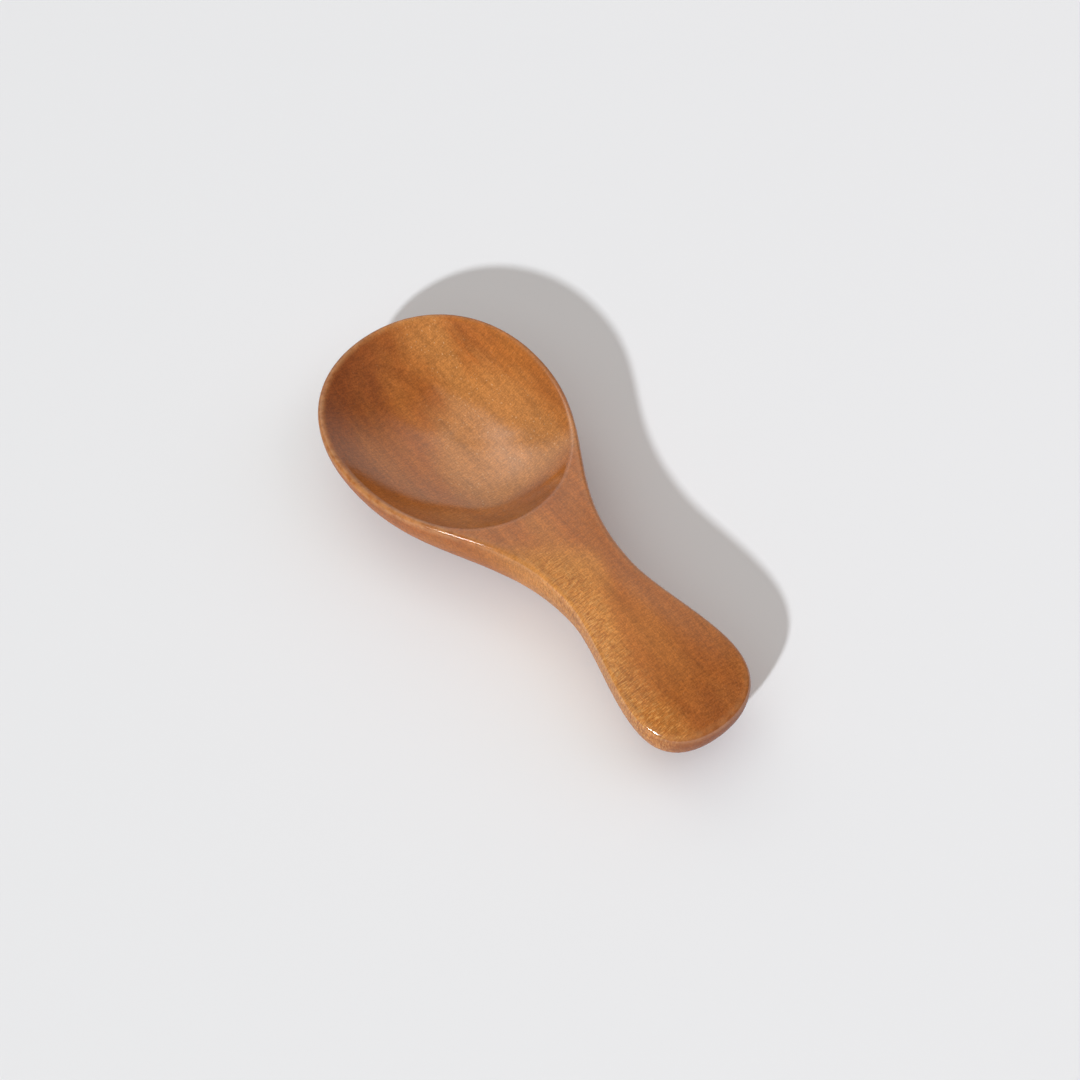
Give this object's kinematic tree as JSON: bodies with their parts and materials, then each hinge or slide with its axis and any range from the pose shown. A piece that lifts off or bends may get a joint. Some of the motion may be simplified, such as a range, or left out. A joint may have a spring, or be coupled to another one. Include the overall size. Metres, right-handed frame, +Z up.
{
  "type": "tea scoop",
  "caption": "Short carved wooden tea scoop with a round shallow bowl, a thin rounded rim, a narrow neck and a flared handle.",
  "frame": {"origin": "on the table, midway along the scoop and on its centre line", "axes": "+X from the bowl's tip to the handle's end, +Z up out of the bowl"},
  "size_m": [0.0886, 0.0376, 0.0157],
  "materials": {
    "wood": "honey-brown hardwood under a clear satin-gloss lacquer"
  },
  "bodies": {
    "root": {"scoop_body": "wood"}
  },
  "joints": []
}
